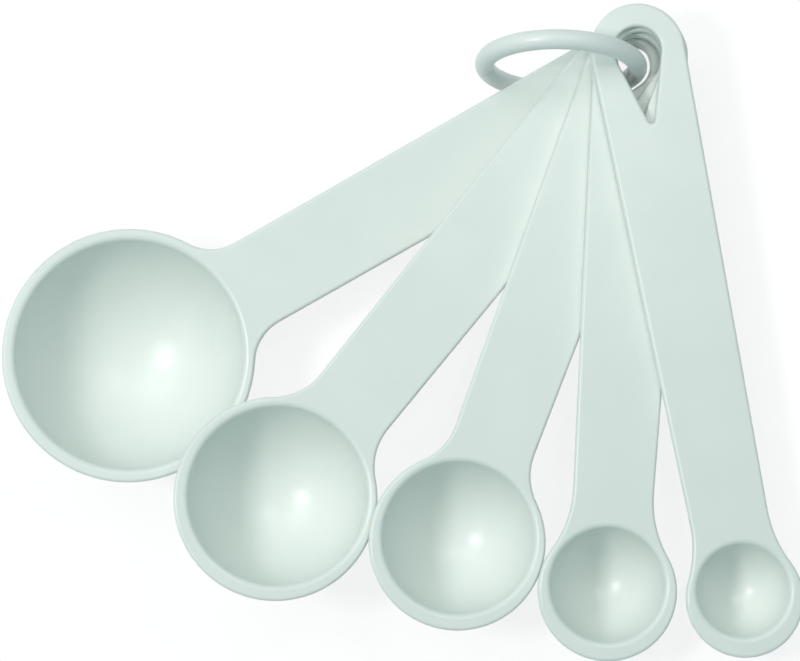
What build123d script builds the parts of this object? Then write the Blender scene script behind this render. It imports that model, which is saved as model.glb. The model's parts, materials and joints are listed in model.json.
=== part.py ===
from build123d import *

import os
from dataclasses import dataclass
from math import acos, asin, atan2, cos, degrees, pi, radians, sin, sqrt

os.makedirs("parts", exist_ok=True)

# Volume unit
centimetre = 10.0
millilitre = centimetre**3

# The largest spoon; the others take their share of it
longest_reach = 97.7
widest_rim_radius = 21.5

# Flat plate that makes each handle, its eye and the lip round its bowl
plate_thickness = 1.6
top_edge_round = 0.55
bottom_edge_round = 0.25

# Eye at the handle's end, with a teardrop hole for the ring
eye_radius = 7.9
hole_radius = 4.0
hole_tip_reach = 14.0
hole_tip_round = 0.6
hole_edge_round = 0.5

# Bowl
lip_width = 2.1
lip_round = 0.9
bowl_wall = 1.1
bowl_root_round = 0.2

# Ring that ties the spoons together, closed by a peg snapped into a socket
ring_radius = 12.8
ring_wire_radius = 1.65
seam_width = 0.25
seam_depth = 0.45
seam_place_deg = 190.0

# How the ring stands in the pile: where its wire crosses the middle plate, from the pivot
strand_x = 0.34
strand_y = -1.25
ring_lean_deg = 80.2
ring_turn_deg = -2.7

# Air between two handles in the pile
plate_gap = 0.35

# How the set is fanned out on the table
tablespoon_turn_deg = -60.4
tablespoon_dip_deg = 4.5

# Rounds of working out how the pile settles on the table
settle_rounds = 20


@dataclass
class Spoon:
    """One spoon: its sizes, and how it lies in the pile, seen from above."""

    name: str
    volume: float
    rim_share: float
    reach_share: float
    neck_width: float
    flare_radius: float  # of the curve from the handle's edge into the rim
    mouth_set_back: float  # from the middle of the rim towards the handle
    bowl_gap: float  # air to the rim of the spoon before it in the fan
    slack_x_share: float  # how far the eye hangs off the ring's wire, of the hole's play
    slack_y_share: float
    dip_deg: float = 0.0

    @property
    def rim_radius(self):
        return widest_rim_radius * self.rim_share

    @property
    def reach(self):
        """From the eye to the middle of the rim."""
        return longest_reach * self.reach_share

    @property
    def mouth_radius(self):
        return self.rim_radius - lip_width

    @property
    def depth(self):
        """Half an ellipsoid of this depth holds the volume."""
        return 3 * self.volume / (2 * pi * self.mouth_radius**2)

    @property
    def outer_radius(self):
        return self.mouth_radius + bowl_wall

    @property
    def outer_depth(self):
        return self.depth + bowl_wall

    @property
    def mouth_x(self):
        return self.reach - self.mouth_set_back


# From the bottom of the pile to its top
spoons = [
    Spoon("tablespoon", 15 * millilitre, 1.0, 1.0, 15.4, 8.0, 0.2, 0.0, 0.0, 0.58, tablespoon_dip_deg),
    Spoon("half_tablespoon", 7.5 * millilitre, 0.786, 0.9595, 14.5, 10.0, 0.6, 0.17, -0.61, 0.56),
    Spoon("teaspoon", 5 * millilitre, 0.681, 0.8806, 13.9, 10.0, 0.7, 0.4, -0.06, 0.61),
    Spoon("half_teaspoon", 2.5 * millilitre, 0.535, 0.916, 13.2, 18.0, 1.0, 0.9, 0.26, 0.71),
    Spoon("quarter_teaspoon", 1.25 * millilitre, 0.451, 0.9475, 12.9, 20.0, 1.3, 2.4, 0.16, 0.77),
]


def teardrop():
    """Outline of the hole: round about the eye, drawn out to a tip towards the bowl."""
    shoulder = hole_radius * Vector(hole_radius, sqrt(hole_tip_reach**2 - hole_radius**2)) / hole_tip_reach
    corners = [(0, 0), (shoulder.X, -shoulder.Y), (hole_tip_reach, 0), (shoulder.X, shoulder.Y)]
    point = Polygon(*corners, align=None)
    tip = point.vertices().sort_by(Axis.X)[-1]
    return Circle(hole_radius) + fillet(tip, hole_tip_round)


def outline(spoon):
    """Eye, tapering handle and lip, seen from above, with the eye at the origin."""
    straight = spoon.reach - spoon.rim_radius
    taper = asin((eye_radius - spoon.neck_width / 2) / straight)
    along = Vector(cos(taper), -sin(taper))
    outward = Vector(sin(taper), cos(taper))
    middle = Vector(spoon.reach, 0)
    # The flare is an arc that touches the handle's edge and the rim
    flare = spoon.flare_radius
    aside = eye_radius + flare - middle.dot(outward)
    back = sqrt((spoon.rim_radius + flare) ** 2 - aside**2)
    flare_middle = middle + outward * aside - along * back
    to_rim = (middle - flare_middle).normalized()
    eye_end = outward * eye_radius
    handle_end = flare_middle - outward * flare
    flare_bend = flare_middle + (to_rim - outward).normalized() * flare
    rim_start = flare_middle + to_rim * flare
    sides = []
    for side in (1, -1):
        corners = [eye_end, handle_end, flare_bend, rim_start]
        sides.append([Vector(corner.X, side * corner.Y) for corner in corners])
    edges = [ThreePointArc(sides[0][0], Vector(-eye_radius, 0), sides[1][0])]
    for eye_corner, handle_corner, bend, rim_corner in sides:
        edges.append(Line(eye_corner, handle_corner))
        edges.append(ThreePointArc(handle_corner, bend, rim_corner))
    rim_tip = middle + Vector(spoon.rim_radius, 0)
    edges.append(ThreePointArc(sides[0][3], rim_tip, sides[1][3]))
    return make_face(edges)


def bowl_shape(radius, depth):
    """Half an ellipsoid, its flat side up, about the mouth's middle."""
    rim, keel = Vector(radius, 0), Vector(0, -depth)
    wall = Bezier(rim, rim + keel, keel, weights=[1, sqrt(1 / 2), 1])
    middle = Line(keel, (0, 0))
    lid = Line((0, 0), rim)
    return revolve(Plane.XZ * make_face([wall, middle, lid]), Axis.Z)


def rounded(body, radius, *places):
    """Rounds the smooth run of edges that passes each place."""
    edges = [body.edges().sort_by_distance(place)[0] for place in places]
    return fillet(edges, radius)


def moulding(spoon):
    """The whole spoon, eye at the origin, bowl along +X, top of the plate at zero."""
    top, bottom = 0, -plate_thickness
    plate = extrude(outline(spoon), bottom)
    plate = rounded(plate, top_edge_round, (-eye_radius, 0, top))
    plate = rounded(plate, bottom_edge_round, (-eye_radius, 0, bottom))
    mouth = Pos(spoon.mouth_x, 0, 0)
    outside = bowl_shape(spoon.outer_radius, spoon.outer_depth)
    # Cut off inside the plate, so that no face of it shows at the lip
    outside = split(outside, Plane.XY.offset(bottom / 2), keep=Keep.BOTTOM)
    inside = bowl_shape(spoon.mouth_radius, spoon.depth)
    body = plate + mouth * outside - mouth * inside - extrude(teardrop(), bottom)
    root_radius = spoon.outer_radius * sqrt(1 - (plate_thickness / spoon.outer_depth) ** 2)
    body = rounded(body, bowl_root_round, (spoon.mouth_x + root_radius, 0, bottom))
    body = rounded(body, lip_round, (spoon.mouth_x + spoon.mouth_radius, 0, top))
    return rounded(body, hole_edge_round, (-hole_radius, 0, top), (-hole_radius, 0, bottom))


def closed_ring():
    """Round wire bent to a ring, with the fine seam where its peg sits in its socket."""
    wire = Torus(ring_radius, ring_wire_radius)
    washer = Cylinder(ring_wire_radius * 2, seam_width) - Cylinder(ring_wire_radius - seam_depth, seam_width)
    seam = Rot(0, 0, seam_place_deg) * Pos(ring_radius, 0, 0) * Rot(90, 0, 0) * washer
    return wire - seam


def level(index):
    """Height of a spoon's top face in the pile, over the tablespoon's at the pivot."""
    room_for_dip = eye_radius * sin(radians(tablespoon_dip_deg)) if index else 0
    return index * (plate_thickness + plate_gap) + room_for_dip


def middle_level():
    return (level(len(spoons) - 1) - plate_thickness) / 2


def ring_place():
    stance = Pos(strand_x, strand_y, middle_level()) * Rot(0, 0, ring_turn_deg) * Rot(ring_lean_deg, 0, 0)
    return stance * Pos(-ring_radius, 0, 0)


def wire_at(height):
    """Where the ring's wire crosses a height in the pile, on the eyes' side."""
    along = asin((height - middle_level()) / (ring_radius * sin(radians(ring_lean_deg))))
    return (ring_place() * Pos(ring_radius * cos(along), ring_radius * sin(along), 0)).position


def eye_middle(index):
    """The eye hangs loosely on the ring, so its middle lies a little off the wire."""
    spoon = spoons[index]
    play = hole_radius - ring_wire_radius
    wire = wire_at(level(index) - plate_thickness / 2)
    return Vector(wire.X + spoon.slack_x_share * play, wire.Y + spoon.slack_y_share * play)


def fan_turns():
    """Each spoon's turn from straight down the page, towards +X: its bowl lies beside the rim before it."""
    turns = [tablespoon_turn_deg]
    for index in range(1, len(spoons)):
        before, spoon = spoons[index - 1], spoons[index]
        turn, dip = radians(turns[-1]), radians(before.dip_deg)
        # Beside the bowl, the dipped rim stands no higher than half a radius back from its middle
        drop = level(index) - level(index - 1) + (before.reach - before.rim_radius / 2) * sin(dip)
        bowl_radius = spoon.outer_radius * sqrt(1 - (drop / spoon.outer_depth) ** 2)
        apart = before.rim_radius + spoon.bowl_gap + bowl_radius
        rim_middle = eye_middle(index - 1) + Vector(sin(turn), -cos(turn)) * before.reach * cos(dip)
        away = rim_middle - eye_middle(index)
        swing = acos((away.length**2 + spoon.reach**2 - apart**2) / (2 * away.length * spoon.reach))
        turns.append(degrees(atan2(away.X, -away.Y) + swing))
    return turns


turns = fan_turns()


def spoon_place(index):
    middle = eye_middle(index)
    return (
        Pos(middle.X, middle.Y, level(index))
        * Rot(0, 0, turns[index] - 90)
        * Rot(0, spoons[index].dip_deg, 0)
    )


def bowl_low_point(index, down):
    """Where the bowl of a spoon in the pile would touch a table that faces down's way."""
    spoon = spoons[index]
    place = spoon_place(index)
    middle = (place * Pos(spoon.mouth_x, 0, 0)).position
    axis = Plane(place).z_dir
    along = axis * down.dot(axis) * spoon.outer_depth
    across = (down - axis * down.dot(axis)) * spoon.outer_radius
    stretched = along * spoon.outer_depth + across * spoon.outer_radius
    return middle + stretched / (along + across).length


def ring_low_point(down):
    axis = Plane(ring_place()).z_dir
    outwards = (down - axis * down.dot(axis)).normalized()
    return ring_place().position + outwards * ring_radius + down * ring_wire_radius


def table_under_pile():
    """Plane of the table: it touches the tablespoon, the ring and one more bowl."""
    down = Vector(0, 0, -1)
    for _ in range(settle_rounds):
        first, *others = [bowl_low_point(index, down) for index in range(len(spoons))]
        ring_point = ring_low_point(down)
        tries = [(point - first).cross(ring_point - first).normalized() for point in others]
        tries = [normal if normal.Z < 0 else -normal for normal in tries]
        down = min(tries, key=lambda normal: max((point - first).dot(normal) for point in others))
    return Plane(origin=first, x_dir=Vector(1, 0, 0) - down * down.X, z_dir=-down)


table = table_under_pile()
pile = {spoon.name: spoon_place(index) * moulding(spoon) for index, spoon in enumerate(spoons)}
pile["ring"] = ring_place() * closed_ring()
standing = {name: table.location.inverse() * piece for name, piece in pile.items()}
box = Compound(list(standing.values())).bounding_box()
# The origin is under the middle of the pile
to_origin = Pos(-box.center().X, -box.center().Y, -box.min.Z)
pile_to_part = to_origin * table.location.inverse()

for name, piece in pile.items():
    export_step(pile_to_part * piece, f"parts/{name}.step")
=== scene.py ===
import json
from math import cos, radians, sin

import bpy
from mathutils import Matrix, Vector

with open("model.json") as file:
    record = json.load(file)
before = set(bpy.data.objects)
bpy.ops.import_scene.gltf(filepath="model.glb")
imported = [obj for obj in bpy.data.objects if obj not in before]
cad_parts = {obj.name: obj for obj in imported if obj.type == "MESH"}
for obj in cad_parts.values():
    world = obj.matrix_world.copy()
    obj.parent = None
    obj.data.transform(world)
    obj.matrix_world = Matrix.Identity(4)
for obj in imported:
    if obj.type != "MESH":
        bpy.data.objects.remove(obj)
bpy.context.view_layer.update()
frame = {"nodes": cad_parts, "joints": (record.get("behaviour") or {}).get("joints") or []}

MM = 0.001

# The pile's own frame: the hinges' pivot, Z along their axis, and X down the pile's slope
joints = {joint["name"]: joint for joint in frame["joints"]}
hinge = joints["half_tablespoon_swing"]
PIVOT = Vector(hinge["pos_m"])
PILE_Z = Vector(hinge["axis"]).normalized()
PILE_X = Vector((PILE_Z.z, 0, -PILE_Z.x)).normalized()
PILE_Y = PILE_Z.cross(PILE_X)


def in_pile(x, y):
    """A point of the pile's XY plane, given in millimetres."""
    return PIVOT + (PILE_X * x + PILE_Y * y) * MM


def pile_direction(x, y, z):
    """A unit vector given in the pile's frame."""
    return (PILE_X * x + PILE_Y * y + PILE_Z * z).normalized()


# Camera, fitted to the outlines in the photograph
IMAGE_WIDTH = 800
PIXELS_PER_MM = 5.974
SENSOR_WIDTH_MM = 36.0
CAMERA_TARGET = in_pile(-39.34, -45.0)
CAMERA_DISTANCE = 500 * MM
CAMERA_TILT = radians(4.99)
CAMERA_SIDE = radians(-2.23)
CLIP_START = 0.01
CLIP_END = 20

# Plastic
PLASTIC_IOR = 1.49
SUBSURFACE_WEIGHT = 0.12
SUBSURFACE_RADIUS = (1.0, 1.1, 1.0)
SUBSURFACE_SCALE = 1.2 * MM
LEAST_ROUGHNESS = 0.29
MOST_ROUGHNESS = 0.36
GRAIN_STRENGTH = 0.08
GRAIN_HEIGHT = 0.1 * MM

# Patterns in the plastic, in waves to the metre, and the noise levels between which clouds fade
CLOUDS = 90
SMUDGES = 260
GRAIN = 1800
CLOUDS_FROM = 0.35
CLOUDS_TO = 0.65

# Floor: scattered light meets a board. The eye sees a film that takes the shadow instead, and a
# window to what is below.
BOARD_GREY = 0.8
FILM_GREY = 0.24
WINDOW_GREY = 0.82
FLOOR_REACH = 3.0

# Light: slightly warm lamps and a dim, cool surrounding
LAMP_COLOUR = (1.0, 0.955, 0.94)
AMBIENT_COLOUR = (0.62, 1.0, 1.0, 1)
AMBIENT_STRENGTH = 0.28
WHITE = (1, 1, 1, 1)


def grey(level):
    """An opaque grey."""
    return (level, level, level, 1)


def add_camera():
    """A camera at the photograph's angle, with the pile's Y upright in the picture."""
    to_camera = pile_direction(
        sin(CAMERA_SIDE),
        -sin(CAMERA_TILT) * cos(CAMERA_SIDE),
        cos(CAMERA_TILT) * cos(CAMERA_SIDE),
    )
    right = PILE_Y.cross(to_camera).normalized()
    up = to_camera.cross(right)
    turn = Matrix((right, up, to_camera)).transposed().to_4x4()
    place = Matrix.Translation(CAMERA_TARGET + to_camera * CAMERA_DISTANCE)

    data = bpy.data.cameras.new("camera")
    focal_pixels = PIXELS_PER_MM * CAMERA_DISTANCE / MM
    data.sensor_width = SENSOR_WIDTH_MM
    data.lens = focal_pixels * SENSOR_WIDTH_MM / IMAGE_WIDTH
    data.clip_start = CLIP_START
    data.clip_end = CLIP_END
    camera = bpy.data.objects.new("camera", data)
    camera.matrix_world = place @ turn
    bpy.context.scene.collection.objects.link(camera)
    bpy.context.scene.camera = camera


def new_material(name):
    """An empty node material with its output."""
    material = bpy.data.materials.new(name)
    material.use_nodes = True
    nodes, links = material.node_tree.nodes, material.node_tree.links
    nodes.clear()
    output = nodes.new("ShaderNodeOutputMaterial")
    return material, nodes, links, output


def add_noise(nodes, links, place, scale, detail):
    """Noise that stays on the object: scale counts its waves in a metre."""
    noise = nodes.new("ShaderNodeTexNoise")
    noise.inputs["Scale"].default_value = scale
    noise.inputs["Detail"].default_value = detail
    links.new(place.outputs["Object"], noise.inputs["Vector"])
    return noise.outputs["Fac"]


def plastic(name, pale, shade):
    """White moulded plastic: a soft satin skin with faint clouding and fine grain."""
    material, nodes, links, output = new_material(name)
    shader = nodes.new("ShaderNodeBsdfPrincipled")
    shader.inputs["Subsurface Weight"].default_value = SUBSURFACE_WEIGHT
    shader.inputs["Subsurface Radius"].default_value = SUBSURFACE_RADIUS
    shader.inputs["Subsurface Scale"].default_value = SUBSURFACE_SCALE
    shader.inputs["IOR"].default_value = PLASTIC_IOR
    links.new(shader.outputs["BSDF"], output.inputs["Surface"])
    place = nodes.new("ShaderNodeTexCoord")

    colour = nodes.new("ShaderNodeValToRGB")
    shade_stop, pale_stop = colour.color_ramp.elements
    shade_stop.position = CLOUDS_FROM
    shade_stop.color = (*shade, 1)
    pale_stop.position = CLOUDS_TO
    pale_stop.color = (*pale, 1)
    links.new(add_noise(nodes, links, place, CLOUDS, detail=4), colour.inputs["Fac"])
    links.new(colour.outputs["Color"], shader.inputs["Base Color"])

    sheen = nodes.new("ShaderNodeMapRange")
    sheen.inputs["To Min"].default_value = LEAST_ROUGHNESS
    sheen.inputs["To Max"].default_value = MOST_ROUGHNESS
    links.new(add_noise(nodes, links, place, SMUDGES, detail=3), sheen.inputs["Value"])
    links.new(sheen.outputs["Result"], shader.inputs["Roughness"])

    bump = nodes.new("ShaderNodeBump")
    bump.inputs["Strength"].default_value = GRAIN_STRENGTH
    bump.inputs["Distance"].default_value = GRAIN_HEIGHT
    links.new(add_noise(nodes, links, place, GRAIN, detail=2), bump.inputs["Height"])
    links.new(bump.outputs["Normal"], shader.inputs["Normal"])
    return material


def dress_nodes():
    """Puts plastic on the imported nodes, a little paler on the spoons than on the ring."""
    spoon_look = plastic("spoon_plastic_look", pale=(0.845, 0.89, 0.855), shade=(0.82, 0.87, 0.84))
    ring_look = plastic("ring_plastic_look", pale=(0.835, 0.88, 0.855), shade=(0.81, 0.86, 0.84))
    for name, node in frame["nodes"].items():
        node.data.materials.clear()
        node.data.materials.append(ring_look if name == "ring" else spoon_look)


def rays_to_eye(nodes, links, *others):
    """1 for rays that bring the picture, straight, by gloss or through glass, and for others."""
    path = nodes.new("ShaderNodeLightPath")
    total = path.outputs["Is Camera Ray"]
    for kind in ("Is Glossy Ray", "Is Transmission Ray", *others):
        either = nodes.new("ShaderNodeMath")
        either.operation = "MAXIMUM"
        links.new(total, either.inputs[0])
        links.new(path.outputs[kind], either.inputs[1])
        total = either.outputs["Value"]
    return total


def add_floor():
    """A white tabletop with a faint shadow. What swings below it shows through."""
    material, nodes, links, output = new_material("floor_look")
    board = nodes.new("ShaderNodeBsdfDiffuse")
    board.inputs["Color"].default_value = grey(BOARD_GREY)
    film = nodes.new("ShaderNodeBsdfDiffuse")
    film.inputs["Color"].default_value = grey(FILM_GREY)
    window = nodes.new("ShaderNodeBsdfTransparent")
    window.inputs["Color"].default_value = grey(WINDOW_GREY)
    seen = nodes.new("ShaderNodeAddShader")
    links.new(film.outputs["BSDF"], seen.inputs[0])
    links.new(window.outputs["BSDF"], seen.inputs[1])
    both = nodes.new("ShaderNodeMixShader")
    links.new(rays_to_eye(nodes, links, "Is Shadow Ray"), both.inputs["Fac"])
    links.new(board.outputs["BSDF"], both.inputs[1])
    links.new(seen.outputs["Shader"], both.inputs[2])
    links.new(both.outputs["Shader"], output.inputs["Surface"])

    low, high = -FLOOR_REACH, FLOOR_REACH
    corners = [(low, low, 0), (high, low, 0), (high, high, 0), (low, high, 0)]
    mesh = bpy.data.meshes.new("floor")
    mesh.from_pydata(corners, [], [(0, 1, 2, 3)])
    mesh.materials.append(material)
    floor = bpy.data.objects.new("floor", mesh)
    bpy.context.scene.collection.objects.link(floor)


def add_lamp(name, direction, distance, size, watts, target=CAMERA_TARGET):
    """A square soft light that shines on a point of the set."""
    data = bpy.data.lights.new(name, "AREA")
    data.shape = "SQUARE"
    data.size = size
    data.energy = watts
    data.color = LAMP_COLOUR
    lamp = bpy.data.objects.new(name, data)
    lamp.location = target + direction * distance
    lamp.rotation_mode = "QUATERNION"
    lamp.rotation_quaternion = (-direction).to_track_quat("-Z", "Y")
    bpy.context.scene.collection.objects.link(lamp)


def add_lamps():
    """A key from the left, soft light from the top corners, and a small lamp on the handles."""
    left = pile_direction(-0.60, -0.03, 0.80)
    upper_left = pile_direction(-0.46, 0.40, 0.79)
    upper_right = pile_direction(0.25, 0.44, 0.86)
    above = pile_direction(0.0965, 0.1458, 0.985)
    handles = in_pile(-10, -15)
    add_lamp("left_light", left, distance=0.75, size=0.13, watts=2.0)
    add_lamp("corner_light", upper_left, distance=0.9, size=0.5, watts=1.75)
    add_lamp("top_light", upper_right, distance=0.9, size=0.4, watts=0.8)
    add_lamp("handle_light", above, distance=0.28, size=0.03, watts=0.05, target=handles)


def add_world():
    """Dim, cool light all round, and a plain white backdrop for the eye."""
    world = bpy.data.worlds.new("world")
    world.use_nodes = True
    nodes, links = world.node_tree.nodes, world.node_tree.links
    ambient = nodes["Background"]
    ambient.inputs["Color"].default_value = AMBIENT_COLOUR
    ambient.inputs["Strength"].default_value = AMBIENT_STRENGTH
    backdrop = nodes.new("ShaderNodeBackground")
    backdrop.inputs["Color"].default_value = WHITE
    both = nodes.new("ShaderNodeMixShader")
    links.new(rays_to_eye(nodes, links), both.inputs["Fac"])
    links.new(ambient.outputs["Background"], both.inputs[1])
    links.new(backdrop.outputs["Background"], both.inputs[2])
    links.new(both.outputs["Shader"], nodes["World Output"].inputs["Surface"])
    bpy.context.scene.world = world


add_camera()
dress_nodes()
add_floor()
add_lamps()
add_world()
bpy.context.scene.view_settings.view_transform = "Standard"
